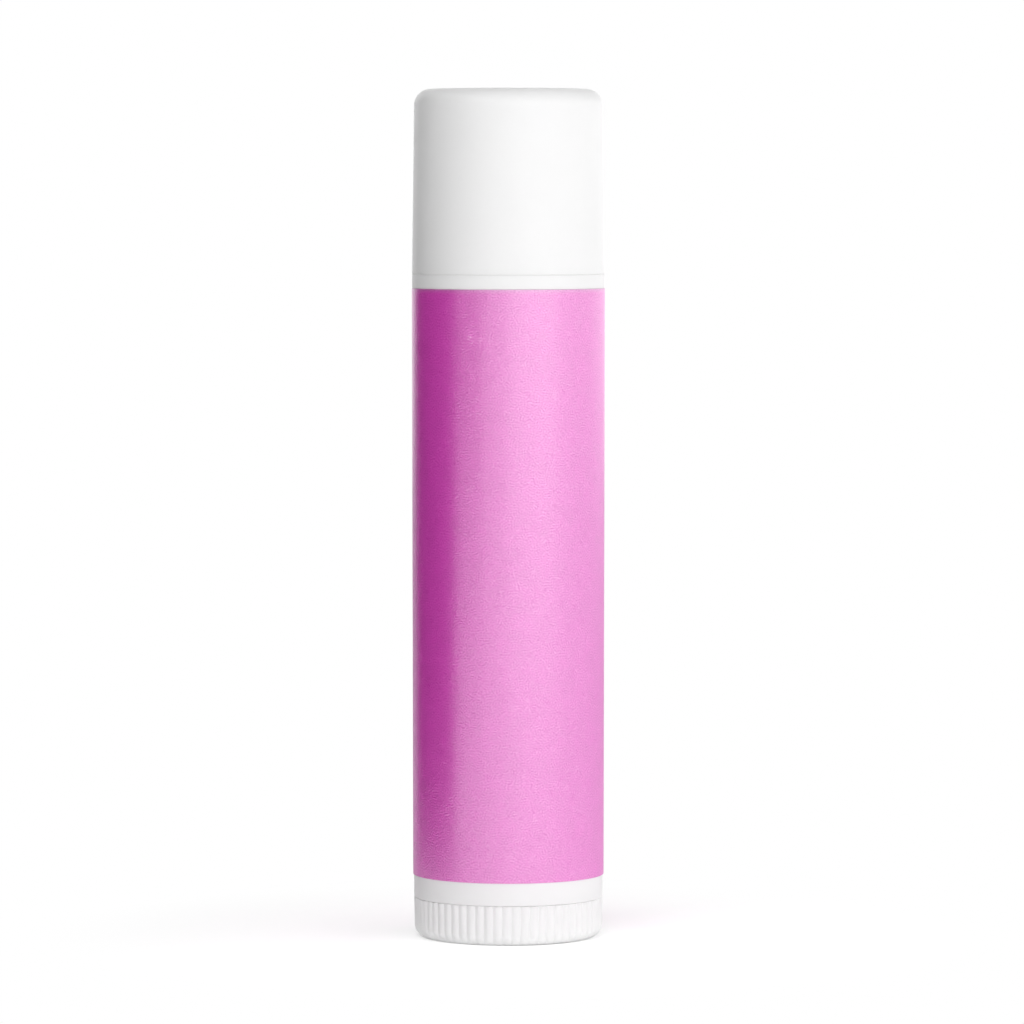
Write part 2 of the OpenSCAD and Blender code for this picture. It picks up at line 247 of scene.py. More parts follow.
# Modelling helpers. Each works on the mesh that is open in edit mode, unless it says otherwise.


def select_only(*pieces):
    """Leaves edit mode and selects some objects and no others, the first of them as the active one."""
    if bpy.context.mode != "OBJECT":
        bpy.ops.object.mode_set(mode="OBJECT")
    bpy.ops.object.select_all(action="DESELECT")
    for piece in pieces:
        piece.select_set(True)
    if pieces:
        bpy.context.view_layer.objects.active = pieces[0]


def start_point(name, x, y, z):
    """Opens a new mesh whose only vertex stands at a place, made from a plane merged to its middle."""
    select_only()
    bpy.ops.mesh.primitive_plane_add(size=MM, location=(0, 0, 0))
    piece = bpy.context.object
    piece.name = piece.data.name = name
    bpy.ops.object.mode_set(mode="EDIT")
    bpy.ops.mesh.select_mode(type="VERT")
    bpy.ops.mesh.select_all(action="SELECT")
    bpy.ops.mesh.merge(type="CENTER")
    bpy.ops.transform.translate(value=(x, y, z))
    return piece


def draw(points):
    """Extrudes the selected vertex from each point to the next."""
    for here, there in zip(points, points[1:]):
        step = [b - a for a, b in zip(here, there)]
        bpy.ops.mesh.extrude_region_move(TRANSFORM_OT_translate={"value": step})


def weld():
    """Merges doubles and turns every face outwards."""
    bpy.ops.mesh.select_all(action="SELECT")
    bpy.ops.mesh.remove_doubles(threshold=WELD)
    bpy.ops.mesh.normals_make_consistent(inside=False)


def turn(name, outline, steps):
    """Turns a half section of (radius, height) points round the axis, and leaves it open in edit mode."""
    points = [(r, 0, z) for r, z in outline]
    piece = start_point(name, *points[0])
    draw(points)
    bpy.ops.mesh.select_all(action="SELECT")
    bpy.ops.mesh.spin(steps=steps, angle=2 * math.pi, center=(0, 0, 0), axis=(0, 0, 1))
    weld()
    return piece


def pick(kind, test):
    """Selects the vertices, edges or faces that pass a test."""
    bpy.ops.mesh.select_mode(type={"verts": "VERT", "edges": "EDGE", "faces": "FACE"}[kind])
    bpy.ops.mesh.select_all(action="DESELECT")
    form = bmesh.from_edit_mesh(bpy.context.edit_object.data)
    found = [part for part in getattr(form, kind) if test(part)]
    for part in found:
        part.select_set(True)
    form.select_flush_mode()
    bmesh.update_edit_mesh(bpy.context.edit_object.data)
    if not found:
        raise RuntimeError(f"{bpy.context.edit_object.name}: no {kind} found where they are to be shaped")


def on_ring(vertex, radius, z, tolerance=0.004 * MM):
    """Whether a vertex lies on a ring of the lathe."""
    return abs(vertex.co.z - z) < tolerance and abs(vertex.co.xy.length - radius) < tolerance


def round_rings(rings, segments):
    """Bevels rings of a turned piece, each given as (radius, height, size of the round)."""
    for radius, z, size in rings:
        pick("edges", lambda e: all(on_ring(v, radius, z) for v in e.verts))
        bpy.ops.mesh.bevel(
            offset_type="OFFSET", offset=size, segments=segments, affect="EDGES", clamp_overlap=False
        )


def modify(piece, kind, **settings):
    """Adds a modifier with its settings and applies it."""
    select_only(piece)
    modifier = piece.modifiers.new(kind.title(), kind)
    for key, value in settings.items():
        setattr(modifier, key, value)
    bpy.ops.object.modifier_apply(modifier=modifier.name)


def finish_piece(piece, body, slot, materials, *nodes):
    """Shades a piece, gives it its materials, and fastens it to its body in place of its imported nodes."""
    select_only(piece)
    bpy.ops.object.shade_smooth_by_angle(angle=CRISP)
    modify(piece, "WEIGHTED_NORMAL", keep_sharp=True)
    for material in materials:
        piece.data.materials.append(material)
    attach(piece, body)
    if nodes:
        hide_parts(*nodes)


def discard(*helpers):
    """Deletes objects that only helped to shape a piece."""
    select_only(*helpers)
    bpy.ops.object.delete()


def arc(r, z, radius, first, last, n):
    """Points of a round in a half section: its centre, radius, first and last angle in degrees."""
    angles = [math.radians(first + (last - first) * i / n) for i in range(n + 1)]
    return [(r + radius * math.cos(a), z + radius * math.sin(a)) for a in angles]


def bars(name, inner_r, outer_r, width, low_z, high_z):
    """Four blocks that stand where the bore's guide ribs are, as one object, for cutting slots over them."""
    count = 4
    blocks = []
    for i in range(count):
        a = 2 * math.pi * (i + 0.5) / count
        middle = (inner_r + outer_r) / 2
        place = (middle * math.cos(a), middle * math.sin(a), (low_z + high_z) / 2)
        bpy.ops.mesh.primitive_cube_add(size=1, location=place, rotation=(0, 0, a))
        bpy.context.object.scale = (outer_r - inner_r, width, high_z - low_z)
        blocks.append(bpy.context.object)
    select_only(*blocks)
    bpy.ops.object.join()
    bpy.ops.object.transform_apply(location=True, rotation=True, scale=True)
    bpy.context.object.name = name
    return bpy.context.object


# Material helpers


def node(tree, kind, links=None, **settings):
    """Adds a node. Settings name its fields or its sockets, with _ for a space. Links give socket: source."""
    made = tree.nodes.new(kind)
    for key, value in settings.items():
        if hasattr(made, key):
            setattr(made, key, value)
        else:
            made.inputs[key.replace("_", " ")].default_value = value
    for socket, source in (links or {}).items():
        tree.links.new(source, made.inputs[socket])
    return made


def new_material(name):
    """An empty node material, its tree, and the object coordinates that its patterns read."""
    material = bpy.data.materials.new(name)
    material.use_nodes = True
    tree = material.node_tree
    tree.nodes.clear()
    place = node(tree, "ShaderNodeTexCoord").outputs["Object"]
    return material, tree, place


def noise(tree, place, size, detail):
    """Noise with features of about a size."""
    return node(tree, "ShaderNodeTexNoise", {"Vector": place}, Scale=1 / size, Detail=detail).outputs["Fac"]


def bump(tree, height, depth, **links):
    """The normals of a pattern's relief. Links may give its Strength, and the Normal that it lies on."""
    made = node(tree, "ShaderNodeBump", {"Height": height, **links}, Strength=1.0, Distance=depth)
    return made.outputs["Normal"]


def surface(tree, material, shader):
    """Ends a material's tree in a shader."""
    node(tree, "ShaderNodeOutputMaterial", {"Surface": shader.outputs[0]})
    return material


def spread(tree, source, low, high, source_low=0.35, source_high=0.65):
    """A noise's middle range spread between two values."""
    mapped = node(
        tree, "ShaderNodeMapRange", {"Value": source}, From_Min=source_low, From_Max=source_high,
        To_Min=low, To_Max=high
    )
    return mapped.outputs["Result"]


def tint(tree, source, colour, dark, light):
    """A colour that a pattern varies between two brightnesses."""
    ramp = node(tree, "ShaderNodeValToRGB", {"Fac": source})
    for stop, place, level in zip(ramp.color_ramp.elements, (0.3, 0.7), (dark, light)):
        stop.position = place
        stop.color = [c * level for c in colour] + [1]
    return ramp.outputs["Color"]


def moulded_polypropylene(colours):
    """White polypropylene from a spark-finished mould: a soft even gloss, a hint of light passing under the
    skin, and a skin that is never quite flat, so that reflections waver a little."""
    material, tree, place = new_material("white_polypropylene_moulded")
    # Swells left by cooling, about 3 mm across, and the mould's fine finish of about 0.12 mm
    swell = noise(tree, place, 3 * MM, 2.0)
    skin = noise(tree, place, 0.12 * MM, 1.0)
    waver = bump(tree, swell, 0.004 * MM)
    fine = bump(tree, skin, 0.0003 * MM, Normal=waver)
    shader = node(
        tree, "ShaderNodeBsdfPrincipled",
        {
            "Base Color": tint(tree, swell, colours.polypropylene, 0.992, 1.0),
            "Roughness": spread(tree, skin, 0.36, 0.44),
            "Normal": fine,
        },
        IOR=1.49, Subsurface_Weight=0.15, Subsurface_Radius=(1.0, 1.0, 1.0), Subsurface_Scale=0.8 * MM
    )
    return surface(tree, material, shader)


def natural_polypropylene(colours):
    """Unpigmented polypropylene as moulded: milky, so light passes well into it, and smoother than the
    pigmented."""
    material, tree, place = new_material("natural_polypropylene_moulded")
    swell = noise(tree, place, 2 * MM, 2.0)
    waver = bump(tree, swell, 0.004 * MM)
    shader = node(
        tree, "ShaderNodeBsdfPrincipled",
        {
            "Base Color": tint(tree, swell, colours.natural, 0.96, 1.0),
            "Roughness": spread(tree, swell, 0.26, 0.34),
            "Normal": waver,
        },
        IOR=1.49, Subsurface_Weight=0.5, Subsurface_Radius=(1.0, 1.0, 0.9), Subsurface_Scale=1.5 * MM
    )
    return surface(tree, material, shader)


def pearl_film(colours):
    """Ink printed on pearl polypropylene film: coated mica flakes mirror light back through the ink, so the
    highlight is broad, pale and satin, and a fine embossed grain breaks it up into specks."""
    material, tree, place = new_material("pearl_film_printed")
    # Grain that winds about with a pitch of 0.2 mm, specks of 0.17 mm, and slow mottling of the ink, 1.4 mm.
    # The real film's grain is finer than the picture can show, so this one is drawn coarser
    grain = node(
        tree, "ShaderNodeTexGabor", {"Vector": place}, gabor_type="3D", Scale=1 / (0.5 * MM), Frequency=2.4,
        Anisotropy=0.0
    ).outputs["Value"]
    speck = noise(tree, place, 0.17 * MM, 1.0)
    mottle = noise(tree, place, 1.4 * MM, 3.0)
    patches = spread(tree, mottle, 0.4, 1.0)
    emboss = bump(tree, grain, 0.026 * MM, Strength=patches)
    relief = bump(tree, speck, 0.012 * MM, Normal=emboss)
    ink = tint(tree, mottle, colours.film, 0.94, 1.0)
    density = node(
        tree, "ShaderNodeMath",
        {
            0: spread(tree, grain, 0.8, 1.0, 0.2, 0.8),
            1: spread(tree, speck, 0.96, 1.0),
        },
        operation="MULTIPLY"
    )
    printed = node(
        tree, "ShaderNodeVectorMath", {"Vector": ink, "Scale": density.outputs[0]}, operation="SCALE"
    )
    # The ink pales by up to 0.3 over the last 0.35 mm below the knife cut at the top
    height = node(tree, "ShaderNodeSeparateXYZ", {"Vector": place})
    pale = node(
        tree, "ShaderNodeMapRange", {"Value": height.outputs["Z"]}, From_Min=LABEL_HIGH_Z - 0.35 * MM,
        From_Max=LABEL_HIGH_Z, To_Max=0.3
    )
    edged = node(
        tree, "ShaderNodeMixRGB", {"Fac": pale.outputs["Result"], "Color1": printed.outputs["Vector"]},
        Color2=[*colours.film_core, 1]
    )
    shader = node(
        tree, "ShaderNodeBsdfPrincipled",
        {
            "Base Color": edged.outputs["Color"],
            "Specular IOR Level": spread(tree, grain, 0.58, 1.0, 0.2, 0.8),
            "Normal": relief,
        },
        Roughness=0.3, IOR=2.6
    )
    return surface(tree, material, shader)


def film_cut_edge(colours):
    """The knife-cut edge of the film: its bare greyish core, matt and slightly fibrous."""
    material, tree, place = new_material("pearl_film_cut_edge")
    fibre = noise(tree, place, 0.15 * MM, 2.0)
    shader = node(
        tree, "ShaderNodeBsdfPrincipled",
        {
            "Base Color": tint(tree, fibre, colours.film_core, 0.9, 1.05),
            "Roughness": spread(tree, fibre, 0.6, 0.75),
        },
        IOR=1.49
    )
    return surface(tree, material, shader)


def poured_balm(colours):
    """Wax and oil poured warm and set: translucent ivory, a greasy sheen, and a faint bloom of crystals."""
    material, tree, place = new_material("balm_poured")
    bloom = noise(tree, place, 0.6 * MM, 4.0)
    ripple = noise(tree, place, 2.5 * MM, 2.0)
    wave = bump(tree, ripple, 0.03 * MM)
    pores = bump(tree, bloom, 0.004 * MM, Normal=wave)
    shader = node(
        tree, "ShaderNodeBsdfPrincipled",
        {
            "Base Color": tint(tree, bloom, colours.balm, 0.97, 1.0),
            "Roughness": spread(tree, bloom, 0.3, 0.42),
            "Normal": pores,
        },
        IOR=1.44, Subsurface_Weight=0.6, Subsurface_Radius=(1.0, 0.8, 0.5), Subsurface_Scale=2.5 * MM
    )
    return surface(tree, material, shader)


def finish(name, make, context):
    """A named finish, made once and then shared by the pieces of that material."""
    return bpy.data.materials.get(name) or make(context.scene.stick_colours)


def white_plastic(context):
    """The finish that the cap, barrel and dial share."""
    return finish("white_polypropylene_moulded", moulded_polypropylene, context)


class STICK_OT_cap(bpy.types.Operator):
    """Turn the push-on cap: a drafted shell with a rounded upper edge"""

    bl_idname = "stick.cap"
    bl_label = "Cap"

    def execute(self, context):
        s = context.scene.stick_sizes
        top_r = COLLAR_R - s.cap_draft
        bore_r = COLLAR_R - s.cap_wall_t
        ceiling_z = CAP_TOP_Z - s.cap_top_t
        outline = [
            (0, CAP_TOP_Z - s.gate_depth),
            (s.gate_r, CAP_TOP_Z - s.gate_depth),
            (s.gate_r, CAP_TOP_Z),
            (top_r, CAP_TOP_Z),
            (COLLAR_R, SHOULDER_Z),
            (bore_r + s.cap_lead_in, SHOULDER_Z),
            (bore_r, SHOULDER_Z + s.cap_lead_in),
            (bore_r, ceiling_z),
            (0, ceiling_z),
        ]
        piece = turn("cap_shell", outline, s.lathe_steps)
        round_rings([(top_r, CAP_TOP_Z, s.cap_round_r), (bore_r, ceiling_z, s.ceiling_r)], 10)
        round_rings(
            [
                (COLLAR_R, SHOULDER_Z, s.line_r),
                (s.gate_r, CAP_TOP_Z, s.gate_edge_r),
                (s.gate_r, CAP_TOP_Z - s.gate_depth, s.gate_edge_r),
            ],
            4,
        )
        finish_piece(piece, "cap", "white_polypropylene", [white_plastic(context)], "cap")
        return {"FINISHED"}


class STICK_OT_barrel(bpy.types.Operator):
    """Turn the barrel: floor, spigot, tapered panel, collar and neck, with guide ribs in its bore"""

    bl_idname = "stick.barrel"
    bl_label = "Barrel"

    def execute(self, context):
        s = context.scene.stick_sizes
        foot_z = s.dial_h + s.dial_gap
        floor_z = foot_z + s.floor_t
        panel_z = LABEL_HIGH_Z + s.label_gap
        panel_r = s.stick_r + s.panel_draft
        hole_r = s.journal_r + s.journal_gap
        neck_r = COLLAR_R - s.cap_wall_t - s.cap_gap
        bore_r = neck_r - s.neck_wall_t
        spigot_r = s.stick_r - s.dial_wall_t - s.spigot_gap
        bead_z = SHOULDER_Z + s.bead_up
        outline = [
            (hole_r, foot_z),
            (spigot_r - s.spigot_t, foot_z),
            (spigot_r - s.spigot_t, SPIGOT_Z),
            (spigot_r, SPIGOT_Z),
            (spigot_r, foot_z),
            (s.stick_r, foot_z),
            (panel_r, panel_z),
            (COLLAR_R, panel_z),
            (COLLAR_R, SHOULDER_Z),
            (neck_r, SHOULDER_Z),
            (neck_r, bead_z),
            (neck_r + s.bead_rise, bead_z + s.bead_w / 3),
            (neck_r + s.bead_rise, bead_z + s.bead_w * 2 / 3),
            (neck_r, bead_z + s.bead_w),
            (neck_r, RIM_Z),
            (bore_r + s.rim_chamfer, RIM_Z),
            (bore_r, RIM_Z - s.rim_chamfer),
            (bore_r, RIM_Z - s.guide_drop),
            (bore_r, floor_z),
            (hole_r, floor_z),
            (hole_r, foot_z),
        ]
        piece = turn("barrel_tube", outline, s.lathe_steps)
        round_rings(
            [
                (s.stick_r, foot_z, s.line_r),
                (COLLAR_R, panel_z, s.collar_edge_r),
                (COLLAR_R, SHOULDER_Z, s.line_r),
                (neck_r, RIM_Z, s.edge_r),
            ],
            4,
        )
        near = 0.05 * MM
        half_guide = s.guide_w / 2 / bore_r

        def under_guide(face):
            place = face.calc_center_median()
            quarter = math.pi / 2
            off = (math.atan2(place.y, place.x) % quarter) - quarter / 2
            upright = abs(face.normal.z) < 0.1
            in_bore = upright and abs(place.xy.length - bore_r) < near
            return in_bore and floor_z < place.z < RIM_Z - s.guide_drop and abs(off) < half_guide

        pick("faces", under_guide)
        bpy.ops.mesh.extrude_region_shrink_fatten(TRANSFORM_OT_shrink_fatten={"value": s.guide_h})
        finish_piece(piece, "tube", "white_polypropylene", [white_plastic(context)], "barrel")
        return {"FINISHED"}


class STICK_OT_label(bpy.types.Operator):
    """Wrap the label's film round the barrel, its end lapped over its start at the back"""

    bl_idname = "stick.label"
    bl_label = "Label"

    def execute(self, context):
        s = context.scene.stick_sizes
        foot_z = s.dial_h + s.dial_gap
        slope = s.panel_draft / (LABEL_HIGH_Z + s.label_gap - foot_z)
        low_r = s.stick_r + slope * (LABEL_LOW_Z - foot_z) + s.glue_t
        high_r = s.stick_r + slope * (LABEL_HIGH_Z - foot_z) + s.glue_t
        lap = s.lap_w / s.stick_r
        step = 2 * math.pi / s.lathe_steps
        # Spins run clockwise seen from above, so the lap straddles the middle of the back
        start = math.pi / 2 + lap / 2
        climb = s.climb_w / s.stick_r
        # Share of the film's thickness that is left free under the lap
        spare = 0.06
        side = ((low_r, LABEL_LOW_Z), (high_r, LABEL_HIGH_Z))
        ends = [(r * math.cos(start), r * math.sin(start), z) for r, z in side]
        piece = start_point("label_film", *ends[0])
        draw(ends)
        bpy.ops.mesh.select_all(action="SELECT")
        round_angle = 2 * math.pi - climb
        bpy.ops.mesh.spin(
            steps=round(round_angle / step), angle=round_angle, center=(0, 0, 0), axis=(0, 0, 1),
            use_auto_merge=False
        )
        # The film climbs over its own start, and its end lies on top
        lift = 1 + (1 + spare) * s.label_t / s.stick_r
        bpy.ops.mesh.spin(steps=1, angle=climb, center=(0, 0, 0), axis=(0, 0, 1), use_auto_merge=False)
        bpy.ops.transform.resize(value=(lift, lift, 1), center_override=(0, 0, 0))
        bpy.ops.mesh.spin(
            steps=round(lap / step), angle=lap, center=(0, 0, 0), axis=(0, 0, 1), use_auto_merge=False
        )
        form = bmesh.from_edit_mesh(piece.data)
        inwards = [f for f in form.faces if f.normal.dot(f.calc_center_median() * Vector((1, 1, 0))) < 0]
        if inwards:
            bpy.ops.mesh.select_all(action="SELECT")
            bpy.ops.mesh.flip_normals()
        modify(
            piece, "SOLIDIFY", thickness=(1 - spare) * s.label_t, offset=1, use_even_offset=True,
            material_offset_rim=1
        )
        modify(
            piece, "BEVEL", width=s.label_edge_r, segments=2, limit_method="ANGLE",
            angle_limit=math.radians(60)
        )
        materials = [
            finish("pearl_film_printed", pearl_film, context),
            finish("pearl_film_cut_edge", film_cut_edge, context),
        ]
        finish_piece(piece, "tube", "label_film", materials, "label")
        return {"FINISHED"}


class STICK_OT_dial(bpy.types.Operator):
    """Model the ribbed dial with its foot and its bearing up to the snap barb"""

    bl_idname = "stick.dial"
    bl_label = "Dial and spindle"

    def rib_section(self, s):
        """Points of one rib and half the groove each side of it, seen from above, round the angle zero."""
        centre = s.stick_r - s.rib_r
        groove_r = s.stick_r - s.rib_h
        flank = (groove_r ** 2 - centre ** 2 - s.rib_r ** 2) / (2 * centre * s.rib_r)
        reach = math.acos(flank)
        crest_n = 10
        half = math.pi / s.rib_n
        crest = [reach * (2 * i / crest_n - 1) for i in range(crest_n + 1)]
        points = [(centre + s.rib_r * math.cos(a), s.rib_r * math.sin(a)) for a in crest]
        start = (groove_r * math.cos(half), -groove_r * math.sin(half))
        end = (start[0], -start[1])
        return [start, *points, end]

    def ring(self, crest_r, z, even=1.0):
        """Extrudes the selected ring to a crest radius and a height, its grooves evened out by a share."""
        bpy.ops.mesh.extrude_region_move(TRANSFORM_OT_translate={"value": (0, 0, 0)})
        form = bmesh.from_edit_mesh(bpy.context.edit_object.data)
        here = next(v.co.z for v in form.verts if v.select)
        bpy.ops.transform.tosphere(value=even, center_override=(0, 0, here))
        form = bmesh.from_edit_mesh(bpy.context.edit_object.data)
        factor = crest_r / max(v.co.xy.length for v in form.verts if v.select)
        bpy.ops.transform.resize(value=(factor, factor, 1), center_override=(0, 0, 0))
        bpy.ops.transform.translate(value=(0, 0, z - here))

    def close(self):
        """Closes the selected ring with faces that meet at its middle."""
        bpy.ops.mesh.extrude_region_move(TRANSFORM_OT_translate={"value": (0, 0, 0)})
        bpy.ops.mesh.merge(type="CENTER")

    def execute(self, context):
        s = context.scene.stick_sizes
        section = [(x, y, s.dial_h - s.line_r) for x, y in self.rib_section(s)]
        piece = start_point("dial_wheel", *section[0])
        draw(section)
        bpy.ops.mesh.select_all(action="SELECT")
        bpy.ops.transform.rotate(value=-s.rib_turn, orient_axis="Z", center_override=(0, 0, 0))
        bpy.ops.mesh.spin(
            steps=s.rib_n - 1, dupli=True, angle=2 * math.pi * (s.rib_n - 1) / s.rib_n, center=(0, 0, 0),
            axis=(0, 0, 1)
        )
        bpy.ops.mesh.select_all(action="SELECT")
        bpy.ops.mesh.remove_doubles(threshold=WELD)
        # Down the grip and round the foot, where the grooves run out just above the floor
        bpy.ops.mesh.select_all(action="SELECT")
        foot_r = s.stick_r - s.dial_draft
        depth = 1
        for crest_r, z in arc(foot_r - s.dial_round_r, s.dial_round_r, s.dial_round_r, 0, -90, 16):
            left = min(1, max(0, (z - s.groove_end_z) / s.groove_fade_h)) ** 0.5
            self.ring(crest_r, z, 1 - left / depth if depth else 0)
            depth = left
        for radius, z in (
            (s.recess_r + s.recess_edge_w, 0), (s.recess_r, s.recess_edge_h), (s.recess_r, s.recess_depth),
            (s.gate_r, s.recess_depth), (s.gate_r, s.recess_depth + s.gate_depth),
        ):
            self.ring(radius, z)
        self.close()
        # Over the upper edge, in across the skirt, down inside it, and up the bearing to the barb
        pick("edges", lambda e: e.is_boundary)
        for crest_r, z in arc(s.stick_r - s.line_r, s.dial_h - s.line_r, s.line_r, 15, 90, 5):
            self.ring(crest_r, z, 0)
        foot_z = s.dial_h + s.dial_gap
        skirt_r = s.stick_r - s.dial_wall_t
        boss_r = s.journal_r + s.journal_gap + s.thrust_w
        barb_z = foot_z + s.floor_t + s.barb_gap
        barb_r = s.journal_r + s.journal_gap + s.barb_w
        for radius, z in (
            (s.stick_r - s.rib_blend_w, s.dial_h), (skirt_r, s.dial_h), (skirt_r, s.dial_floor_t),
            (boss_r, s.dial_floor_t), (boss_r, foot_z - s.thrust_gap), (s.journal_r, foot_z - s.thrust_gap),
            (s.journal_r, barb_z), (barb_r, barb_z), (barb_r, barb_z + s.barb_h / 3),
            (s.thread_r, barb_z + s.barb_h), (s.thread_r / 2, barb_z + s.barb_h),
        ):
            self.ring(radius, z)
        self.close()
        weld()
        finish_piece(piece, "dial", "white_polypropylene", [white_plastic(context)], "dial")
        return {"FINISHED"}


class STICK_OT_spindle(bpy.types.Operator):
    """Twist the spindle's two-start left-hand thread, moulded on the dial"""

    bl_idname = "stick.spindle"
    bl_label = "Spindle"

    def execute(self, context):
        s = context.scene.stick_sizes
        barb_top_z = s.dial_h + s.dial_gap + s.floor_t + s.barb_gap + s.barb_h
        start_z = barb_top_z - s.barb_h / 2
        top_z = SPINDLE_TIP_Z - s.tip_h
        root_r = s.thread_r - s.thread_depth
        sides, slices_a_turn = 24, 20
        bpy.ops.object.select_all(action="DESELECT")
        bpy.ops.mesh.primitive_circle_add(vertices=sides, radius=1, location=(0, 0, 0))
        piece = context.object
        piece.name = piece.data.name = "spindle"
        bpy.ops.object.mode_set(mode="EDIT")
        bpy.ops.mesh.select_all(action="SELECT")
        bpy.ops.transform.resize(value=(s.thread_r, root_r, 1), center_override=(0, 0, 0))
        bpy.ops.transform.translate(value=(0, 0, start_z))
        per_length = 2 * math.pi / s.thread_lead
        bpy.ops.transform.rotate(value=start_z * per_length, orient_axis="Z", center_override=(0, 0, 0))
        slices = math.ceil(slices_a_turn * (top_z - start_z) / s.thread_lead)
        rise = (top_z - start_z) / slices
        for _ in range(slices):
            bpy.ops.mesh.extrude_region_move(TRANSFORM_OT_translate={"value": (0, 0, rise)})
            bpy.ops.transform.rotate(value=rise * per_length, orient_axis="Z", center_override=(0, 0, 0))
        tip = (root_r - s.tip_step) / s.thread_r
        taper = 0.6
        bpy.ops.mesh.extrude_region_move(TRANSFORM_OT_translate={"value": (0, 0, 0)})
        bpy.ops.transform.resize(value=(tip, tip, 1), center_override=(0, 0, 0))
        bpy.ops.mesh.extrude_region_move(TRANSFORM_OT_translate={"value": (0, 0, s.tip_h / 2)})
        bpy.ops.mesh.extrude_region_move(TRANSFORM_OT_translate={"value": (0, 0, s.tip_h / 2)})
        bpy.ops.transform.resize(value=(taper, taper, 1), center_override=(0, 0, 0))
        pick("edges", lambda e: e.is_boundary)
        bpy.ops.mesh.edge_face_add()
        weld()
        finish_piece(piece, "dial", "white_polypropylene", [white_plastic(context)], "dial")
        return {"FINISHED"}


class STICK_OT_balm(bpy.types.Operator):
    """Turn the balm, cast in the elevator's cup and round the spindle, and cut its slots over the guides"""

    bl_idname = "stick.balm"
    bl_label = "Balm"

    def execute(self, context):
        s = context.scene.stick_sizes
        bore_r = COLLAR_R - s.cap_wall_t - s.cap_gap - s.neck_wall_t
        balm_r = bore_r - s.balm_gap
        cup_r = bore_r - s.elevator_gap - s.elevator_wall_t
        spindle_r = s.thread_r + s.balm_bore_gap
        tip_z = SPINDLE_TIP_Z + s.tip_room
        hub_top_z = BALM_LOW_Z + s.hub_rise
        edge_z = BALM_HIGH_Z - s.dome_h
        dome_r = (balm_r ** 2 + s.dome_h ** 2) / (2 * s.dome_h)
        dome_a = math.degrees(math.asin(balm_r / dome_r))
        outline = [
            (0, tip_z),
            (spindle_r, tip_z),
            (spindle_r, hub_top_z),
            (s.hub_r + s.cast_gap, hub_top_z),
            (s.hub_r + s.cast_gap, BALM_LOW_Z),
            (cup_r - s.cast_gap, BALM_LOW_Z),
            (cup_r - s.cast_gap, ELEVATOR_HIGH_Z),
            (balm_r, ELEVATOR_HIGH_Z),
            *arc(0, BALM_HIGH_Z - dome_r, dome_r, 90 - dome_a, 90, 12),
        ]
        piece = turn("balm_stick", outline, s.lathe_steps)
        round_rings([(balm_r, edge_z, s.dome_edge_r)], 4)
        bpy.ops.object.mode_set(mode="OBJECT")
        cutter = bars(
            "guide_cutter", bore_r - s.guide_h - s.guide_gap, bore_r + MM, s.guide_w + 2 * s.guide_gap,
            BALM_LOW_Z - MM, RIM_Z - s.guide_drop + s.guide_gap
        )
        modify(piece, "BOOLEAN", operation="DIFFERENCE", solver="EXACT", object=cutter)
        discard(cutter)
        finish_piece(piece, "carriage", "balm_wax", [finish("balm_poured", poured_balm, context)], "balm")
        return {"FINISHED"}


class STICK_OT_elevator(bpy.types.Operator):
    """Give the elevator its milky plastic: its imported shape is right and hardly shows"""

    bl_idname = "stick.elevator"
    bl_label = "Elevator"

    def execute(self, context):
        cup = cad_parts["elevator"]
        cup.data.materials.clear()
        cup.data.materials.append(finish("natural_polypropylene_moulded", natural_polypropylene, context))
        return {"FINISHED"}


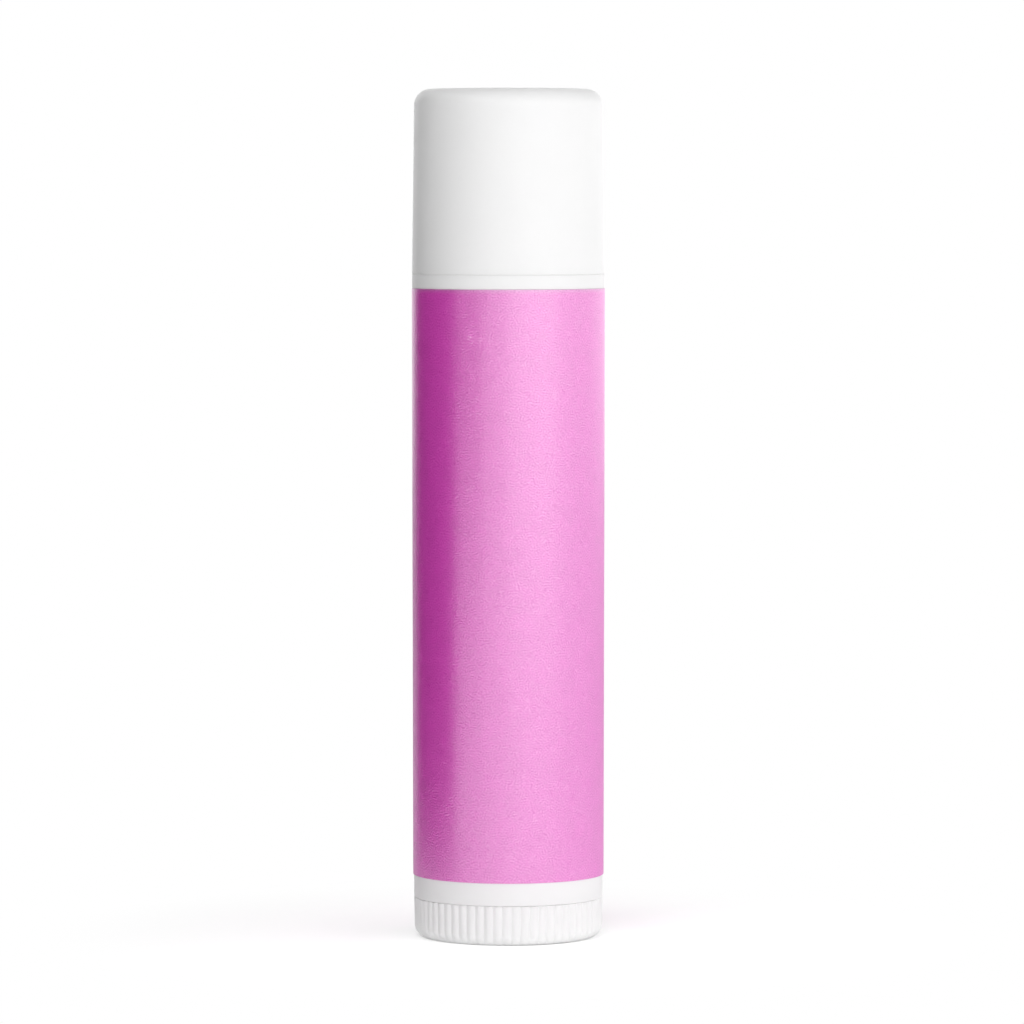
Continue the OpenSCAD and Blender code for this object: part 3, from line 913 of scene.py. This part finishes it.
class STICK_OT_stage(bpy.types.Operator):
    """Lay the sweep, set the softboxes, walls and dark card round it, and place the camera"""

    bl_idname = "stick.stage"
    bl_label = "Studio"

    def sweep_paper(self, context):
        """White paper, lit so well that the camera sees it pure white but for the shadow near the stick."""
        settings = context.scene.stick_studio
        material, tree, place = new_material("sweep_paper")
        paper = node(tree, "ShaderNodeBsdfDiffuse", Color=[*context.scene.stick_colours.paper, 1])
        glare = node(tree, "ShaderNodeEmission", Strength=settings.glare)
        near = node(tree, "ShaderNodeAddShader")
        tree.links.new(glare.outputs[0], near.inputs[0])
        tree.links.new(paper.outputs[0], near.inputs[1])
        white = node(tree, "ShaderNodeEmission", Strength=1.0)
        # The shadow shows in full close to the stick and pales with the distance from its axis
        distance = node(tree, "ShaderNodeVectorMath", {0: place}, operation="LENGTH")
        away = node(
            tree, "ShaderNodeMapRange", {"Value": distance.outputs["Value"]}, interpolation_type="SMOOTHSTEP",
            From_Min=settings.shadow_r, From_Max=settings.shadow_end_r
        )
        seen = node(tree, "ShaderNodeMixShader", {"Fac": away.outputs["Result"]})
        tree.links.new(near.outputs[0], seen.inputs[1])
        tree.links.new(white.outputs[0], seen.inputs[2])
        # The rest of the scene also gets the light that comes up through the sweep round the foot
        fade = node(
            tree, "ShaderNodeMapRange", {"Value": distance.outputs["Value"]}, interpolation_type="SMOOTHSTEP",
            From_Min=settings.shadow_r, From_Max=settings.glow_end_r, To_Min=settings.glow, To_Max=0.0
        )
        glow = node(tree, "ShaderNodeEmission", {"Strength": fade.outputs["Result"]})
        table = node(tree, "ShaderNodeAddShader")
        tree.links.new(glow.outputs[0], table.inputs[0])
        tree.links.new(paper.outputs[0], table.inputs[1])
        ray = node(tree, "ShaderNodeLightPath")
        mixed = node(tree, "ShaderNodeMixShader", {"Fac": ray.outputs["Is Camera Ray"]})
        tree.links.new(table.outputs[0], mixed.inputs[1])
        tree.links.new(seen.outputs[0], mixed.inputs[2])
        return surface(tree, material, mixed)

    def sheet(self, name, centre, facing, width, height, shader, **settings):
        """A flat sheet, unseen by the camera, that faces a way and that the stick reflects."""
        select_only()
        turned = Vector(facing).to_track_quat("Z", "Y").to_euler()
        bpy.ops.mesh.primitive_plane_add(size=1, location=centre, rotation=turned)
        made = bpy.context.object
        made.scale = (width, height, 1)
        bpy.ops.object.transform_apply(location=True, rotation=True, scale=True)
        made.name = name
        material, tree, _ = new_material(name)
        made.data.materials.append(surface(tree, material, node(tree, shader, **settings)))
        made.visible_camera = False
        return made

    def soft_panel(self, name, azimuth, elevation, across, up, radiance):
        """A softbox or lit wall that faces the stick, placed and sized by angles as the stick sees them."""
        settings = bpy.context.scene.stick_studio
        reach = settings.reach
        a, e, half_across, half_up = (math.radians(v) for v in (azimuth, elevation, across / 2, up / 2))
        away = Vector((math.sin(a) * math.cos(e), -math.cos(a) * math.cos(e), math.sin(e)))
        centre = reach * away + Vector((0, 0, settings.aim_z))
        width = 2 * reach * math.tan(half_across) * math.cos(e)
        height = 2 * reach * math.tan(half_up)
        self.sheet(name, centre, -away, width, height, "ShaderNodeEmission", Strength=radiance)

    def world(self):
        """A white room: the camera and reflections see it pure white, and the walls do its lighting."""
        world = bpy.data.worlds.new("studio")
        bpy.context.scene.world = world
        world.use_nodes = True
        tree = world.node_tree
        tree.nodes.clear()
        ray = node(tree, "ShaderNodeLightPath")
        direct = node(
            tree, "ShaderNodeMath", {0: ray.outputs["Is Camera Ray"], 1: ray.outputs["Is Glossy Ray"]},
            operation="MAXIMUM"
        )
        direct = node(
            tree, "ShaderNodeMath", {0: direct.outputs[0], 1: ray.outputs["Is Transmission Ray"]},
            operation="MAXIMUM"
        )
        back = node(tree, "ShaderNodeBackground", {"Strength": direct.outputs[0]}, Color=(1, 1, 1, 1))
        node(tree, "ShaderNodeOutputWorld", {"Surface": back.outputs[0]})

    def execute(self, context):
        settings = context.scene.stick_studio
        select_only()
        bpy.ops.mesh.primitive_plane_add(size=settings.sweep_w, location=(0, 0, 0))
        floor = context.object
        floor.name = "sweep"
        floor.data.materials.append(self.sweep_paper(context))
        self.world()
        self.soft_panel("left_softbox", -30, 35, 60, 30, settings.left_box)
        self.soft_panel("right_softbox", 30, 35, 60, 30, settings.right_box)
        self.soft_panel("side_softbox", 90, 35, 60, 30, settings.side_box)
        self.soft_panel("fill_softbox", -105, 50, 90, 36, settings.fill_box)
        overhead = self.sheet(
            "overhead_softbox", (0, 0, settings.reach), (0, 0, -1), settings.overhead_w, settings.overhead_w,
            "ShaderNodeEmission", Strength=settings.overhead_box
        )
        # It lights the sweep alone: on the stick it would burn out the cap's rounded edge
        sweep_only = bpy.data.collections.new("sweep_only")
        sweep_only.objects.link(floor)
        overhead.light_linking.receiver_collection = sweep_only
        # The walls stand side by side and the backdrop is as tall, all in degrees as the stick sees them
        first, span, rise, tall = -75, 30, 9, 22
        for i, level in enumerate(settings.walls):
            self.soft_panel(f"wall_{i + 1}", first + span * i, rise, span, tall, level)
        self.soft_panel("backdrop", 180, rise, 62, tall, settings.backdrop)
        self.sheet(
            "dark_card", (-settings.card_x, settings.card_y, settings.card_h / 2), (1, 0, 0), settings.card_w,
            settings.card_h, "ShaderNodeBsdfDiffuse", Color=[*context.scene.stick_colours.card, 1]
        )
        bpy.ops.object.camera_add(
            location=(settings.aside, -settings.distance, settings.eye_h),
            rotation=(math.pi / 2 - settings.pitch, 0, 0)
        )
        camera = context.object
        camera.data.lens = settings.lens
        camera.data.clip_start, camera.data.clip_end = 0.01, 50
        context.scene.camera = camera
        context.scene.view_settings.view_transform = "Standard"
        return {"FINISHED"}


PIECES = (
    STICK_OT_cap, STICK_OT_barrel, STICK_OT_label, STICK_OT_dial, STICK_OT_spindle, STICK_OT_elevator,
    STICK_OT_balm,
)


class STICK_PT_sidebar(bpy.types.Panel):
    """The stick's pieces and studio, in the order in which they are made"""

    bl_idname = "STICK_PT_sidebar"
    bl_label = "Lip balm stick"
    bl_space_type = "VIEW_3D"
    bl_region_type = "UI"
    bl_category = "Lip balm"

    def draw(self, context):
        for operator in (*PIECES, STICK_OT_stage):
            self.layout.operator(operator.bl_idname)


CLASSES = (StickSizes, StickColours, StudioSettings, *PIECES, STICK_OT_stage, STICK_PT_sidebar)


def register():
    for cls in CLASSES:
        bpy.utils.register_class(cls)
    bpy.types.Scene.stick_sizes = PointerProperty(type=StickSizes)
    bpy.types.Scene.stick_colours = PointerProperty(type=StickColours)
    bpy.types.Scene.stick_studio = PointerProperty(type=StudioSettings)


def unregister():
    del bpy.types.Scene.stick_sizes, bpy.types.Scene.stick_colours, bpy.types.Scene.stick_studio
    for cls in reversed(CLASSES):
        bpy.utils.unregister_class(cls)


def main():
    """Registers the add-on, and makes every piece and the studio."""
    register()
    bpy.ops.stick.stage()
    bpy.ops.stick.cap()
    bpy.ops.stick.barrel()
    bpy.ops.stick.label()
    bpy.ops.stick.dial()
    bpy.ops.stick.spindle()
    bpy.ops.stick.elevator()
    bpy.ops.stick.balm()


if __name__ == "__main__":
    main()
